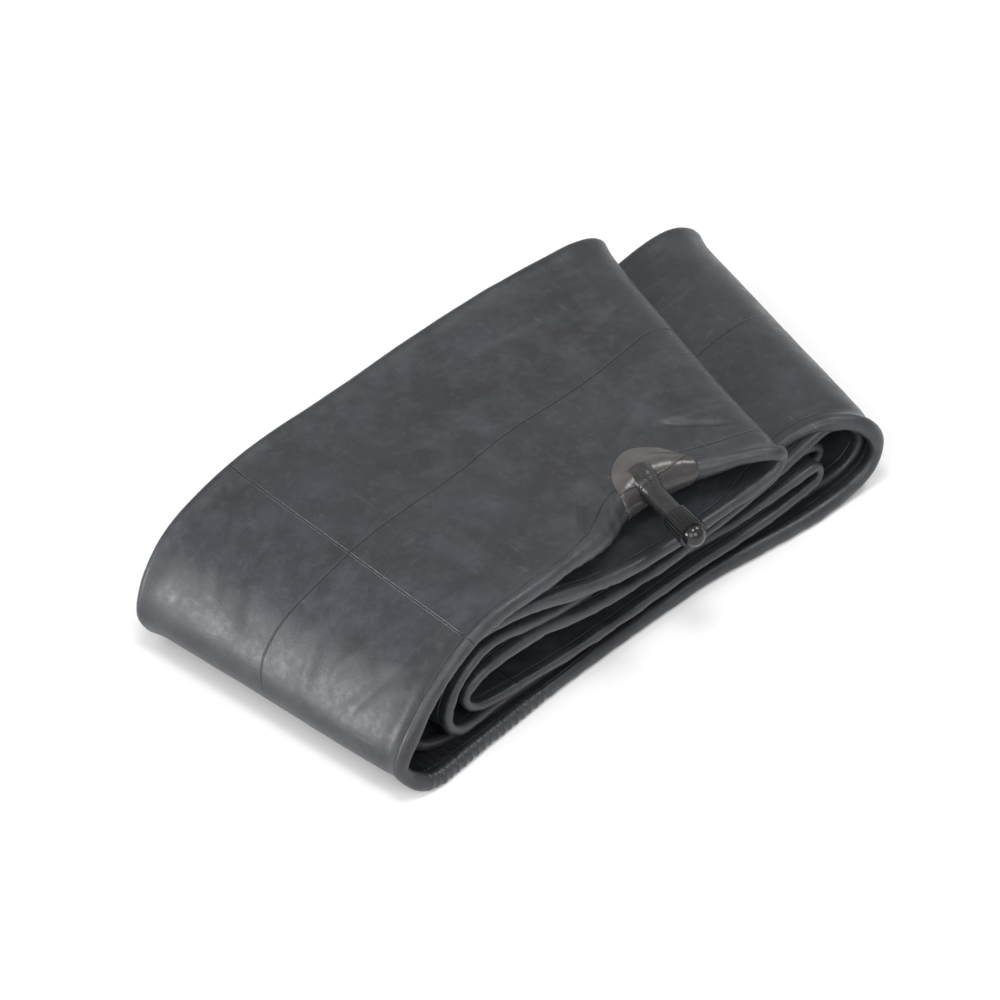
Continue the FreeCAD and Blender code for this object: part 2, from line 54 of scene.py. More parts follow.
# Middle line of the band: x from the left fold, z, how far the front edge stands back,
# how far the front edge rises (below 0, droops), largest radius of the rounded front edge.
RING = [
    # outer strip, top of the roll
    (205.6, 43.9, -2.4, 2.4, 3.1), (194, 46.5, 2.6, 1.6, 3.1), (176, 47.4, 10.6, 0, 4.3),
    (158, 48.8, 18.2, 0, 6.8), (140, 50.3, 16.3, -1, 7.0), (122, 52.6, 7.4, -1, 5.2),
    (100, 55.3, 3, 0, 3.6), (78, 57.6, 0.5, 0, 3.4), (60, 58.3, 0, 0, 3.3),
    # outer left fold
    (46, 56, 0, 0, 3.3), (34, 50.7, 0, 0, 3.3), (22.5, 42.2, 0, 0, 3.3),
    (12.8, 31.2, 0, 0, 3.3), (6, 21.2, 0, 0, 3.3), (4.3, 15.3, 0, 0, 3.3),
    (6.1, 10.4, -0.6, 0, 3.3), (9.7, 6.4, -1.8, 0, 3.3), (14.2, 3.1, -2.8, 0, 3.3),
    # bottom of the roll
    (21.5, 1.4, -3.4, 0, 3.3), (34, 1.3, -2.6, 0, 3.3), (60, 1.3, -0.4, 0, 3.2),
    (100, 1.3, 2.2, 0, 3.1), (140, 1.3, 2.8, 0, 3.1), (180, 1.3, 2, 0, 3.1),
    (215, 1.3, -2, 0, 3.1), (236, 1.5, -2.6, 0, 3.1),
    # outer right fold
    (250, 4.2, -3, 0, 3.1), (257.4, 9.4, -3.6, 0, 3.2), (260.2, 17, -3.8, 0, 3.3),
    (257.8, 24.9, -3, 0, 3.3), (251, 31.1, 0, 0, 3.2), (242, 33.9, 4, 0, 3.1),
    (232, 33.4, 8.6, 0, 3.0),
    # second run along the top
    (220, 31, 12, 0, 2.6), (204, 28.8, 13, 0, 2.0), (180, 27.6, 12, 0, 1.9),
    (150, 27.4, 10, -0.5, 1.9), (120, 30.6, 8, -1.5, 2.0), (95, 37, 5, -3, 2.0),
    (75, 42.2, 3.4, -3, 2.0), (62, 44.4, 3, -1.5, 2.0),
    # second left fold
    (50, 42.6, 3, 0, 2.1), (39.8, 36.2, 3, 0, 2.2), (33.4, 27.3, 3, 0, 2.2),
    (32.6, 18, 3, 0, 2.2), (38.2, 11.4, 3.2, 0, 2.1),
    # second run along the bottom
    (54, 8.6, 5, 0, 2.0), (90, 8.4, 7, 0, 1.9), (130, 8.4, 9, 0, 1.9),
    (170, 8.4, 9, 0, 1.9), (205, 8.5, 10, 0, 1.9),
    # second right fold
    (222, 9.9, 10, 0, 2.0), (232.5, 12.8, 10, 0, 2.0), (237.6, 18.3, 9.5, 0, 2.0),
    (234, 23.1, 9, 0, 2.0), (224, 24.3, 9, 0, 2.0),
    # last run and the inner end of the roll
    (206, 22.3, 9, 0, 1.9), (188, 21, 9, 0, 1.9), (174, 20.6, 9, 0, 1.9),
    (164, 20.4, 9, 0, 1.9), (162.3, 19.7, 9, 0, 1.9), (161.5, 17.9, 9, 0, 1.9),
    (162.3, 16.1, 9, 0, 1.9), (164, 15.4, 9, 0, 1.9),
    # inner strip, coming back
    (174, 15.2, 8, 0, 1.9), (188, 15.8, 6, 0, 1.9), (206, 18.1, 4, 0, 1.9),
    (220, 20.4, 2.4, 0, 2.0), (227.6, 20.8, 2, 0, 2.1), (230.2, 19.8, 2, 0, 2.1),
    (231.2, 17.5, 2, 0, 2.1), (230.2, 15.2, 2, 0, 2.1), (227.6, 14.2, 2, 0, 2.1),
    (220, 13.2, 2, 0, 2.0), (204, 11.9, 2, 0, 1.9), (170, 11.7, 3, 0, 1.9),
    (130, 11.7, 2, 1.2, 2.0), (92, 11.9, 2, 1.8, 2.1), (72, 12.4, 2.6, 2.4, 2.1),
    (59, 13.4, 3.4, 1.6, 2.1), (50.4, 15.4, 4, 0.6, 2.1), (45.4, 19, 4.4, 0, 2.1),
    (43.8, 23.2, 4.4, 0, 2.1), (45.8, 27.4, 4, 0, 2.1), (51, 30.8, 3.4, 0, 2.1),
    (60, 33.4, 2.6, -0.6, 2.1), (73, 35, 2, -1.4, 2.1), (86, 34.4, 2, -2.4, 2.0),
    (98, 32, 2, -3, 1.9), (120, 27, 3, -2.5, 1.9),
    (150, 24, 3, -1, 1.9), (180, 24.2, 4, 0, 1.9), (204, 25.5, 5, 0, 1.9),
    (220, 27.5, 6, 0, 2.0), (232, 29.8, 6, 0, 2.1), (241, 30.2, 6, 0, 2.2),
    (248.4, 27.2, 5, 0, 2.2), (253.8, 22, 4.6, 0, 2.2), (255, 16.4, 4.6, 0, 2.2),
    (252.6, 11, 5, 0, 2.2), (246, 6.5, 6, 0, 2.1), (236, 4.9, 7, 0, 2.0),
    (205, 4.7, 8, 0, 1.9), (140, 4.7, 8.4, 0, 1.9), (90, 4.7, 8, 0, 1.9),
    (52, 4.8, 8, 0, 2.0), (36, 6.1, 8.4, 0, 2.2), (26, 9.6, 8.4, 0, 2.3),
    (19.8, 15.4, 8, 0, 2.3), (18.8, 23, 7, 0, 2.3), (22.8, 31.8, 6, 0, 2.3),
    (30, 40.6, 4.6, 0, 2.2), (39.5, 47.6, 3.4, 0, 2.2), (51, 51.8, 2, 0, 2.2),
    (64, 52.9, 0.6, -1, 2.3), (80, 50.6, 0, -2.6, 2.4), (100, 44.2, 0, -3, 2.5),
    (125, 36.6, 0, -1.5, 2.5), (150, 33.2, 0, 0, 2.4), (180, 32.5, 0, 0, 2.5),
    (198, 33.6, -1.4, 1.2, 2.8),
    # front end of the outer strip
    (206.4, 36.2, -2.4, 2.4, 3.1), (208.6, 40, -2.6, 2.8, 3.1),
]


# --------------------------------------------------------------- ring maths

FINE_SAMPLES = 24000             # points of the ring before it is cut into rows
RIBS_FROM, RIBS_TO = 225, 420    # stretch of the ring whose front edge has ribs


def closed_spline(table, spread):
    """Smooth closed curve through the table's rows; spread gives the samples' spacing."""
    rows = np.array(table, float)
    count = len(rows)
    around = np.vstack([rows, rows[:1]])
    step = np.sqrt(((around[1:, :2] - around[:-1, :2]) ** 2).sum(1)) ** 0.75
    knots = np.concatenate([[0.0], np.cumsum(step)])
    matrix = np.zeros((count, count))
    right = np.zeros((count, rows.shape[1]))
    for k in range(count):
        before, after = step[k - 1], step[k]
        matrix[k, (k - 1) % count] += before
        matrix[k, k] += 2 * (before + after)
        matrix[k, (k + 1) % count] += after
        right[k] = 6 * ((around[k + 1] - around[k]) / after
                        - (around[k] - rows[k - 1]) / before)
    bend = np.linalg.solve(matrix, right)
    bend = np.vstack([bend, bend[:1]])
    at = np.linspace(0, knots[-1], FINE_SAMPLES, endpoint=False)
    k = np.clip(np.searchsorted(knots, at, side="right") - 1, 0, count - 1)
    part, span = (at - knots[k])[:, None], step[k][:, None]
    fine = ((bend[k] * (span - part) ** 3 + bend[k + 1] * part ** 3) / (6 * span)
            + (around[k] / span - bend[k] * span / 6) * (span - part)
            + (around[k + 1] / span - bend[k + 1] * span / 6) * part)
    gap = np.sqrt(((np.roll(fine, -1, 0) - fine)[:, :2] ** 2).sum(1))
    along = np.concatenate([[0.0], np.cumsum(gap)])
    weight = np.concatenate([[0.0], np.cumsum(gap / spread(fine, along[:-1]))])
    total = int(round(weight[-1]))
    spots = np.interp(np.arange(total) * weight[-1] / total, weight, along)
    looped = np.vstack([fine, fine[:1]])
    out = [np.interp(spots, along, looped[:, c]) for c in range(looped.shape[1])]
    return np.stack(out, 1), spots, along[-1]


def bump(x, centre, width):
    return np.exp(-((x - centre) / width) ** 2)


def smooth(x, low, high):
    t = np.clip((x - low) / (high - low), 0, 1)
    return t * t * (3 - 2 * t)


def spacing(fine, along):
    """Millimetres between the mesh's rows at each point of the ring."""
    ahead, behind = np.roll(fine, -6, 0)[:, :2], np.roll(fine, 6, 0)[:, :2]
    turn1, turn2 = ahead - fine[:, :2], fine[:, :2] - behind
    angle = np.arctan2(turn1[:, 1], turn1[:, 0]) - np.arctan2(turn2[:, 1], turn2[:, 0])
    angle = np.abs((angle + np.pi) % (2 * np.pi) - np.pi)
    radius = np.sqrt((turn1 ** 2).sum(1)) / np.maximum(angle, 1e-6)
    gap = np.clip(radius * 0.22, 0.7, 2.6)
    near_valve = (along < 190) & (fine[:, 0] > 90)
    gap = np.where(near_valve, np.minimum(gap, 1.25), gap)
    ribs = (fine[:, 1] < 8) & (fine[:, 2] < 3) & (fine[:, 0] < 86) & (along < RIBS_TO)
    return np.where(ribs, 0.55, gap)


ring, arc, ring_length = closed_spline(RING, spacing)
count = len(ring)
centre = ring[:, :2]
tangent = np.roll(centre, -1, 0) - np.roll(centre, 1, 0)
tangent /= np.linalg.norm(tangent, axis=1)[:, None]
# out of the closed ring: up on top of the roll
outward = np.stack([tangent[:, 1], -tangent[:, 0]], 1)
front_y, front_rise, front_r = ring[:, 2], ring[:, 3], ring[:, 4]
middle_x = centre[:, 0]
back_r = np.clip(front_r - 0.5, 1.8, 2.6)

# the back edge: how far back it lies, how much higher than the front, how far it leans left
INNER_HALF_WAY, INNER_REACH = 1000.0, 850.0
inside_roll = np.abs(arc - INNER_HALF_WAY) < INNER_REACH
back_y = (WIDTH - 5.5 * smooth(middle_x, 60, 235) * inside_roll
          + 0.7 * np.sin(arc / 61.0) + 0.5 * np.sin(arc / 23.0 + 1.0)
          + 2.5 * bump(arc, 70, 48) + 4.2 * bump(arc, 198, 31)
          + 3.6 * bump(arc, ring_length - 245, 60))
signed_arc = np.where(arc > ring_length / 2, arc - ring_length, arc)
back_rise = (np.interp(signed_arc, [-90, -30, 0, 11, 30, 48, 66, 84, 106, 128, 150],
                       [0, 1.2, 3, 5, 6.4, 6.6, 6, 4.4, 2, 0.6, 0])
             + 3.2 * bump(arc, 560, 34) + 2.2 * bump(arc, 200, 24))
back_lean = 2.8 * bump(arc, 198, 34)


# ------------------------------------------------------------ surface detail

def noise(x, y, seed):
    """Smooth value noise, from -1 to 1."""
    table = np.random.RandomState(seed).rand(256, 256) * 2 - 1
    xi, yi = np.floor(x).astype(int), np.floor(y).astype(int)
    fx, fy = x - xi, y - yi
    fx, fy = fx * fx * (3 - 2 * fx), fy * fy * (3 - 2 * fy)
    a, b = table[xi % 256, yi % 256], table[(xi + 1) % 256, yi % 256]
    c, d = table[xi % 256, (yi + 1) % 256], table[(xi + 1) % 256, (yi + 1) % 256]
    return (a * (1 - fx) + b * fx) * (1 - fy) + (c * (1 - fx) + d * fx) * fy


def along_line(points):
    """Arc along the ring to distance from the front edge, through a few points."""
    at = np.array([p[0] for p in points], float)
    y = np.array([p[1] for p in points], float)
    wrapped = np.where(arc > ring_length - 40, arc - ring_length, arc)
    line = np.interp(wrapped, at, y)
    kernel = np.ones(9) / 9.0
    return np.convolve(np.concatenate([line[-4:], line, line[:4]]), kernel, "valid")


# long seam along the middle of the outer wall, and the mould line beside the front edge
MID_SEAM = along_line([(-40, 68), (-8, 73), (0, 78), (9, 79), (35, 75), (49, 73.5), (79, 73.5),
                       (107, 68.5), (130, 67), (148, 66), (161, 67), (174, 67.5), (187, 71),
                       (200, 74), (210, 74), (220, 72), (226, 66), (260, 62), (480, 66),
                       (540, 70), (620, 66), (1900, 66)])
EDGE_SEAM = along_line([(-40, 9), (0, 13), (19, 18), (30, 22.5), (34, 25), (46, 26.5),
                        (58, 25.5), (74, 23), (81, 18.5), (88, 14.5), (101, 9.5), (114, 6.5),
                        (122, 6.3), (145, 4.4), (161, 3.8), (200, 3.8), (400, 4.2), (700, 13.5),
                        (900, 13), (1900, 9)])
roll_seam = smooth(arc, 300, 400) * (1 - smooth(arc, ring_length - 48, ring_length - 10))
EDGE_SEAM = EDGE_SEAM * (1 - roll_seam) + (front_y + 2 * front_r + 0.7) * roll_seam
SPLICES = [(163.3, -0.035), (938.0, 0.02), (1274.0, -0.03)]


# creases of the outer wall: arc and y of both ends, width, height out of the plane
CREASES = (
    (29, 38, 8, 22, 1.1, -0.9), (33, 42, 4, 33, 2.2, 0.5), (20, 60, 52, 44, 3.0, 0.45),
    (78, 34, 94, 12, 1.4, -0.8), (72, 40, 92, 22, 2.4, 0.5), (84, 46, 128, 20, 4.0, 0.4),
    (62, 62, 100, 86, 4.5, -0.35), (118, 96, 150, 70, 4.0, 0.3),
    (170, 30, 205, 44, 3.0, 0.35), (178, 96, 208, 84, 3.2, -0.4),
    (168, 118, 200, 104, 2.6, 0.4), (120, 118, 155, 108, 3.5, -0.35),
    (30, 108, 70, 116, 3.0, 0.35), (8, 96, 40, 88, 3.0, -0.4),
    (190, 20, 214, 32, 2.4, -0.35), (182, 58, 214, 52, 2.8, 0.3))
CREASE_DEPTH = 1.5


def creases(u, y):
    """Out-of-plane height of the outer wall's creases."""
    out = np.zeros_like(u + y)
    for u1, y1, u2, y2, width, high in CREASES:
        du, dy = u2 - u1, y2 - y1
        size = math.hypot(du, dy)
        part = ((u - u1) * du + (y - y1) * dy) / size ** 2
        away = ((u - u1) * dy - (y - y1) * du) / size
        ends = smooth(part, -0.25, 0.25) * (1 - smooth(part, 0.75, 1.25))
        out = out + CREASE_DEPTH * high * np.exp(-(away / width) ** 2) * ends
    return out


# ---------------------------------------------------------------- tube mesh

FRONT_STEPS, WALL_STEPS, BACK_STEPS, INNER_STEPS = 14, 84, 10, 34
columns = []                     # (kind, fraction) once around the band's section
for k in range(WALL_STEPS):
    columns.append(("outer", (k + 0.5) / WALL_STEPS))
for k in range(BACK_STEPS + 1):
    columns.append(("back", k / BACK_STEPS))
for k in range(INNER_STEPS):
    columns.append(("inner", 1 - (k + 0.5) / INNER_STEPS))
for k in range(FRONT_STEPS + 1):
    columns.append(("front", k / FRONT_STEPS))

RIB_PITCH, RIB_HEIGHT = 3.8, 0.36
ribbed = (arc > RIBS_FROM) & (arc < RIBS_TO)
ribs = smooth(middle_x, 12, 19) * (1 - smooth(middle_x, 78, 86)) * ribbed
rib_wave = ((0.5 + 0.5 * np.cos(2 * np.pi * arc / RIB_PITCH)) ** 3 - 0.3) * ribs
from_end = np.minimum(arc, ring_length - arc)
end_lean = 10.5 * (1 - smooth(from_end, 0, 120))
edge_wave = (0.16 * noise(arc / 4.2, arc * 0, 3) + 0.22 * noise(arc / 9.0, arc * 0 + 5, 4)
             + 0.12 * np.sin(arc * 0.9) * noise(arc / 17.0, arc * 0 + 9, 5))

# the rounded edge stands mostly inside the roll, and hangs lowest at the valve
inward = (0.5 + 0.3 * smooth(front_r, 3.8, 6.5)) * (front_r - HALF)
outer_fold = (arc > 190) & (arc < 560)
inward[outer_fold] = 0.78 * (front_r - HALF)[outer_fold]
inward = np.convolve(np.concatenate([inward[-6:], inward, inward[:6]]),
                     np.ones(13) / 13, "valid")
fall = 3.0 + 1.5 * np.maximum(front_r - 3.5, 0)
low, high = front_y + front_r, back_y - back_r
creased = (arc < 235) | (arc > ring_length - 9)


def wall(kind, part):
    """y, and height over the band's middle, along one line of the outer or inner wall."""
    y = low + (high - low) * (part ** 1.12 if kind == "outer" else part)
    half = (HALF - 0.3 * bump(y - low, 5.5, 3.0)
            + (front_r - HALF) * np.exp(-((y - low) / fall) ** 1.6)
            + (back_r - HALF) * np.exp(-((high - y) / 4.5) ** 1.5))
    side = 1.0 if kind == "outer" else -1.0
    height = side * half - inward * np.exp(-((y - low) / (fall + 2.2)) ** 1.5)
    if kind == "outer":
        height = height + creases(arc, y) * creased
        height = height + 0.14 * noise(arc / 21.0, y / 17.0, 11)
        height = height + 0.05 * noise(arc / 6.0, y / 6.0, 12)
    else:
        height = height + 0.2 * noise(arc / 17.0, y / 15.0, 14)
    height = height + side * edge_wave * np.exp(-(y - low) / 5.0)
    height = height + side * RIB_HEIGHT * rib_wave * np.exp(-((y - low) / 13.0) ** 4)
    return y, height


def back_edge(part):
    angle = math.radians(90 - 180 * part)
    radius = back_r + 0.12 * noise(arc / 5.0, arc * 0 + 3, 7)
    return high + back_r * math.cos(angle), radius * math.sin(angle)


def front_edge(part):
    angle = math.radians(-90 + 180 * part)
    radius = front_r + edge_wave + RIB_HEIGHT * rib_wave
    return low - radius * math.cos(angle), radius * math.sin(angle) - inward


def placed(y, height):
    """Points of one line along the ring, from its y and its height over the middle."""
    share = np.maximum(y, 0) / WIDTH
    x = middle_x + outward[:, 0] * height
    z = centre[:, 1] + outward[:, 1] * height
    z = z + front_rise * np.exp(-np.maximum(y - front_y, 0) / 14.0)
    z = z + back_rise * share ** 1.6
    fan = FAN * np.maximum(0, x - FAN_START) * y / WIDTH
    x = x + fan + end_lean * share ** 1.3 - back_lean * share ** 2
    return np.stack([LEFT + x, FRONT + y, z], 1)


lines = []                       # each line's points, and their y
for kind, part in columns:
    if kind == "back":
        y, height = back_edge(part)
    elif kind == "front":
        y, height = front_edge(part)
    else:
        y, height = wall(kind, part)
    lines.append((placed(y, height), y))
grid, y_all = (np.array(values) for values in zip(*lines))

# nothing sinks into what the roll lies on
lowest = centre[:, 1] < 6
grid[:, lowest, 2] = np.maximum(grid[:, lowest, 2], FLOOR_GAP)


def make_mesh(name, verts, faces, smooth_faces=True):
    mesh = bpy.data.meshes.new(name)
    mesh.from_pydata([tuple(v) for v in verts], [], faces)
    mesh.update()
    if smooth_faces:
        mesh.polygons.foreach_set("use_smooth", [True] * len(mesh.polygons))
    piece = bpy.data.objects.new(name, mesh)
    bpy.context.scene.collection.objects.link(piece)
    return piece


def wrap_faces(rings, around):
    """Quads between closed rows of a closed band."""
    faces = []
    for j in range(rings):
        nj = (j + 1) % rings
        for i in range(around):
            ni = (i + 1) % around
            faces.append((j * around + i, nj * around + i, nj * around + ni, j * around + ni))
    return faces


def attribute(piece, name, values):
    layer = piece.data.attributes.new(name, "FLOAT", "POINT")
    layer.data.foreach_set("value", np.asarray(values, np.float32).ravel())


section = len(columns)
tube = make_mesh("tube_rubber_skin", grid.reshape(-1, 3) * MM, wrap_faces(section, count))
splice = np.full_like(y_all, 30.0)
for at, lean in SPLICES:
    away = arc[None] - at - lean * (y_all - 60)
    splice = np.where(np.abs(away) < np.abs(splice), away, splice)
attribute(tube, "mid_seam", y_all - MID_SEAM[None])
attribute(tube, "edge_seam", y_all - EDGE_SEAM[None])
attribute(tube, "splice", splice)
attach(tube, "tube_body")
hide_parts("tube")


# ------------------------------------------------------- valve patch and stem

def unit(v):
    v = np.asarray(v, float)
    return v / np.linalg.norm(v)


VALVE = np.array([LEFT + VALVE_X, FRONT + VALVE_Y, VALVE_Z])
STEM_OUT = unit([-0.25818, -0.966063, 0.008096])
BAND_UP = unit([0.080, -0.013, 1.0])
BAND_UP = unit(BAND_UP - STEM_OUT * BAND_UP.dot(STEM_OUT))
STEM_SIDE = np.cross(BAND_UP, STEM_OUT)

# columns from the inner wall round the front edge to the outer wall, near the valve
INNER_COLUMNS, OUTER_COLUMNS, NEAR_VALVE = 16, 48, 110
edge_at = WALL_STEPS + BACK_STEPS + 1 + INNER_STEPS
sweep = list(range(edge_at - INNER_COLUMNS, section)) + list(range(OUTER_COLUMNS))
edge_place = INNER_COLUMNS + FRONT_STEPS // 2
first_rows = np.where(arc < NEAR_VALVE)[0]
skin = grid[sweep][:, first_rows]
skin_length = np.concatenate([np.zeros((1, len(first_rows))), np.cumsum(
    np.linalg.norm(np.diff(skin, axis=0), axis=2), axis=0)])
skin_length -= skin_length[edge_place]


def on_skin(at, s):
    """Point on the tube's surface: arc along the ring, distance s from the edge round it."""
    row = np.interp(at, arc[first_rows], np.arange(len(first_rows)))
    low = int(min(math.floor(row), len(first_rows) - 2))
    part = row - low
    points = []
    for r in (low, low + 1):
        points.append([np.interp(s, skin_length[:, r], skin[:, r, c]) for c in range(3)])
    return np.array(points[0]) * (1 - part) + np.array(points[1]) * part


def skin_normal(at, s):
    a = on_skin(at + 0.8, s) - on_skin(at - 0.8, s)
    b = on_skin(at, s + 0.8) - on_skin(at, s - 0.8)
    n = np.cross(b, a)
    return n / max(np.linalg.norm(n), 1e-9)


def polar_piece(name, rings, around, place):
    """Dome, open underneath, from polar rings; place(ring, angle) gives each vertex."""
    verts = [place(0, 0.0)]
    for r in range(1, rings + 1):
        for k in range(around):
            verts.append(place(r, 2 * math.pi * k / around))
    faces = []
    for k in range(around):
        nk = (k + 1) % around
        faces.append((0, 1 + k, 1 + nk))
        for r in range(1, rings):
            a, b = 1 + (r - 1) * around, 1 + r * around
            faces.append((a + k, b + k, b + nk, a + nk))
    return make_mesh(name, np.array(verts) * MM, faces)


FOOT_ARC = float(np.interp(-VALVE_X, -middle_x[first_rows], arc[first_rows]))
PATCH_R, PATCH_THICK, PATCH_DOME = 17.8, 0.75, 1.5
PATCH_RINGS, RIM_RINGS = 26, 3   # all rings, and those of them that make the rim
PATCH_CENTRE, PATCH_SEAM = 5.2, 5.6      # distances from the edge, round the skin
patch_seam = []                  # distance of each vertex from the patch's seam


def patch_place(r, angle):
    """Vertex of the patch; it also notes the vertex's distance from the seam."""
    flat_rings = PATCH_RINGS - RIM_RINGS
    inside = r <= flat_rings
    rho = PATCH_R * min(r, flat_rings) / flat_rings
    high = PATCH_THICK if r < flat_rings else (0.7, 0.42, 0.1, -0.35)[r - flat_rings]
    rho += (0, 0.18, 0.34, 0.36)[max(0, r - flat_rings)]
    rho *= 1 + 0.012 * math.sin(3 * angle + 1) + 0.008 * math.sin(5 * angle)
    a, s = FOOT_ARC - 0.5 - rho * math.cos(angle), PATCH_CENTRE + rho * math.sin(angle)
    patch_seam.append(s - PATCH_SEAM - 0.012 * (a - FOOT_ARC) ** 2)
    lift = PATCH_DOME * (1 - min(rho / PATCH_R, 1) ** 2) if inside else 0.0
    return on_skin(a, s) + skin_normal(a, s) * (high + lift)


patch = polar_piece("valve_patch_skin", PATCH_RINGS, 96, patch_place)
attribute(patch, "seam", patch_seam)
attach(patch, "tube_body")
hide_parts("valve_patch")


def lathe(name, profile, around=72, wobble=0.0):
    """Piece turned about the stem, open at both ends, from (radius, height) pairs."""
    verts, faces = [], []
    for r, h in profile:
        for k in range(around):
            t = 2 * math.pi * k / around
            rr = r + wobble * math.sin(3 * t + h)
            verts.append(VALVE + STEM_OUT * h + STEM_SIDE * rr * math.cos(t)
                         + BAND_UP * rr * math.sin(t))
    for j in range(len(profile) - 1):
        for k in range(around):
            nk = (k + 1) % around
            faces.append((j * around + k, j * around + nk,
                          (j + 1) * around + nk, (j + 1) * around + k))
    return make_mesh(name, np.array(verts) * MM, faces)


def rounded(points, steps=5):
    """Profile with each inner corner rounded; points are (radius, height, rounding)."""
    out = []
    for k, (r, h, rounding) in enumerate(points):
        if rounding == 0 or k in (0, len(points) - 1):
            out.append((r, h))
            continue
        before, after = np.array(points[k - 1][:2]), np.array(points[k + 1][:2])
        corner = np.array([r, h])
        a = corner + unit(before - corner) * rounding
        b = corner + unit(after - corner) * rounding
        for q in range(steps + 1):
            t = q / steps
            out.append(tuple(a * (1 - t) ** 2 + corner * 2 * t * (1 - t) + b * t ** 2))
    return out


hub = lathe("valve_hub_skin", rounded([
    (6.8, -6.0, 0), (6.3, -1.6, 1.2), (5.7, 0.4, 0.7), (5.55, 1.7, 0.35), (5.1, 2.1, 0.3),
    (5.05, 2.9, 0.2), (4.6, 3.0, 0)]), wobble=0.07)
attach(hub, "tube_body")
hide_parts("valve_patch")

cover = lathe("stem_cover_skin", rounded([
    (4.75, 2.4, 0), (4.82, 3.3, 0.3), (4.55, 4.4, 0.5), (4.25, 6.2, 1.0), (4.2, 12.0, 1.0),
    (4.2, 19.6, 0.6), (4.28, 20.0, 0.15), (4.2, 20.6, 0.25), (3.42, 20.6, 0)]))
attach(cover, "tube_body")
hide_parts("stem_rubber")


SPRING_SEAT, SPRING_LOW, SPRING_HIGH, SPRING_TOP = 20.2, 20.36, 25.44, 25.6
SPRING_R, WIRE_R, SPRING_TURNS, PIN_TRAVEL, SPRING_PLAY = 1.05, 0.14, 7, 1.2, 0.06


def coil_spring(name, steps=196, around=10):
    """The core's spring, in round wire, closed at both ends."""
    verts = []
    for j in range(steps + 1):
        turn = 2 * math.pi * SPRING_TURNS * j / steps
        away = STEM_SIDE * math.cos(turn) + BAND_UP * math.sin(turn)
        middle = (VALVE + STEM_OUT * (SPRING_LOW + (SPRING_HIGH - SPRING_LOW) * j / steps)
                  + away * SPRING_R)
        for k in range(around):
            t = 2 * math.pi * k / around
            verts.append(middle + (away * math.cos(t) + STEM_OUT * math.sin(t)) * WIRE_R)
    faces = [tuple(range(around)), tuple(range((steps + 1) * around - 1, steps * around - 1, -1))]
    for j in range(steps):
        for k in range(around):
            nk = (k + 1) % around
            faces.append((j * around + k, (j + 1) * around + k,
                          (j + 1) * around + nk, j * around + nk))
    return make_mesh(name, np.array(verts) * MM, faces)


spring = coil_spring("core_spring_coil")
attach(spring, "tube_body")
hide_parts("core_spring")
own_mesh(spring)


# ------------------------------------------------------------------ materials

class Shade:
    """A material and short ways to add its nodes."""

    def __init__(self, name, color, roughness, metallic=0.0, specular=0.5):
        self.material = bpy.data.materials.new(name)
        self.material.use_nodes = True
        self.tree = self.material.node_tree
        self.bsdf = self.tree.nodes["Principled BSDF"]
        self.bsdf.inputs["Base Color"].default_value = (*color, 1)
        self.bsdf.inputs["Roughness"].default_value = roughness
        self.bsdf.inputs["Metallic"].default_value = metallic
        self.bsdf.inputs["Specular IOR Level"].default_value = specular
        self.place = self.node("ShaderNodeTexCoord").outputs["Object"]

    def node(self, kind, **settings):
        made = self.tree.nodes.new(kind)
        for key, value in settings.items():
            setattr(made, key, value)
        return made

    def link(self, source, target):
        if isinstance(source, (int, float)):
            target.default_value = source
        elif isinstance(source, tuple):
            target.default_value = (*source, 1)[:len(target.default_value)]
        else:
            self.tree.links.new(source, target)

    def math(self, what, a, b=0.0):
        made = self.node("ShaderNodeMath", operation=what)
        for socket, value in zip(made.inputs, (a, b)):
            self.link(value, socket)
        return made.outputs[0]

    def noise(self, scale, detail=3.0, roughness=0.55, stretch=(1, 1, 1), distort=0.0):
        """Noise with features about 1/scale metres across."""
        mapping = self.node("ShaderNodeMapping")
        mapping.inputs["Scale"].default_value = stretch
        self.link(self.place, mapping.inputs["Vector"])
        made = self.node("ShaderNodeTexNoise")
        made.inputs["Scale"].default_value = scale
        made.inputs["Detail"].default_value = detail
        made.inputs["Roughness"].default_value = roughness
        made.inputs["Distortion"].default_value = distort
        self.link(mapping.outputs[0], made.inputs["Vector"])
        return made.outputs["Fac"]

    def ramp(self, value, low, high, start=0.0, end=1.0):
        """value from low..high spread to start..end, clamped."""
        made = self.node("ShaderNodeMapRange", clamp=True)
        for socket, v in zip(made.inputs, (value, low, high, start, end)):
            self.link(v, socket)
        return made.outputs[0]

    def mix(self, amount, a, b):
        """Color from a to b; the node's color sockets are 6 and 7, and output 2."""
        made = self.node("ShaderNodeMix", data_type="RGBA")
        self.link(amount, made.inputs[0])
        self.link(a, made.inputs[6])
        self.link(b, made.inputs[7])
        return made.outputs[2]

    def read(self, name):
        return self.node("ShaderNodeAttribute", attribute_name=name).outputs["Fac"]

    def line(self, distance, half, soft):
        """1 on a line where distance is 0, falling to 0 over soft beyond half."""
        return self.ramp(self.math("ABSOLUTE", distance), half, half + soft, 1.0, 0.0)

    def bump(self, height, metres, before=None):
        made = self.node("ShaderNodeBump")
        made.inputs["Distance"].default_value = metres
        made.inputs["Strength"].default_value = 1.0
        self.link(height, made.inputs["Height"])
        if before is not None:
            self.link(before, made.inputs["Normal"])
        return made.outputs[0]

    def finish(self, color=None, roughness=None, normal=None):
        for value, socket in ((color, "Base Color"), (roughness, "Roughness"),
                              (normal, "Normal")):
            if value is not None:
                self.link(value, self.bsdf.inputs[socket])
        return self.material


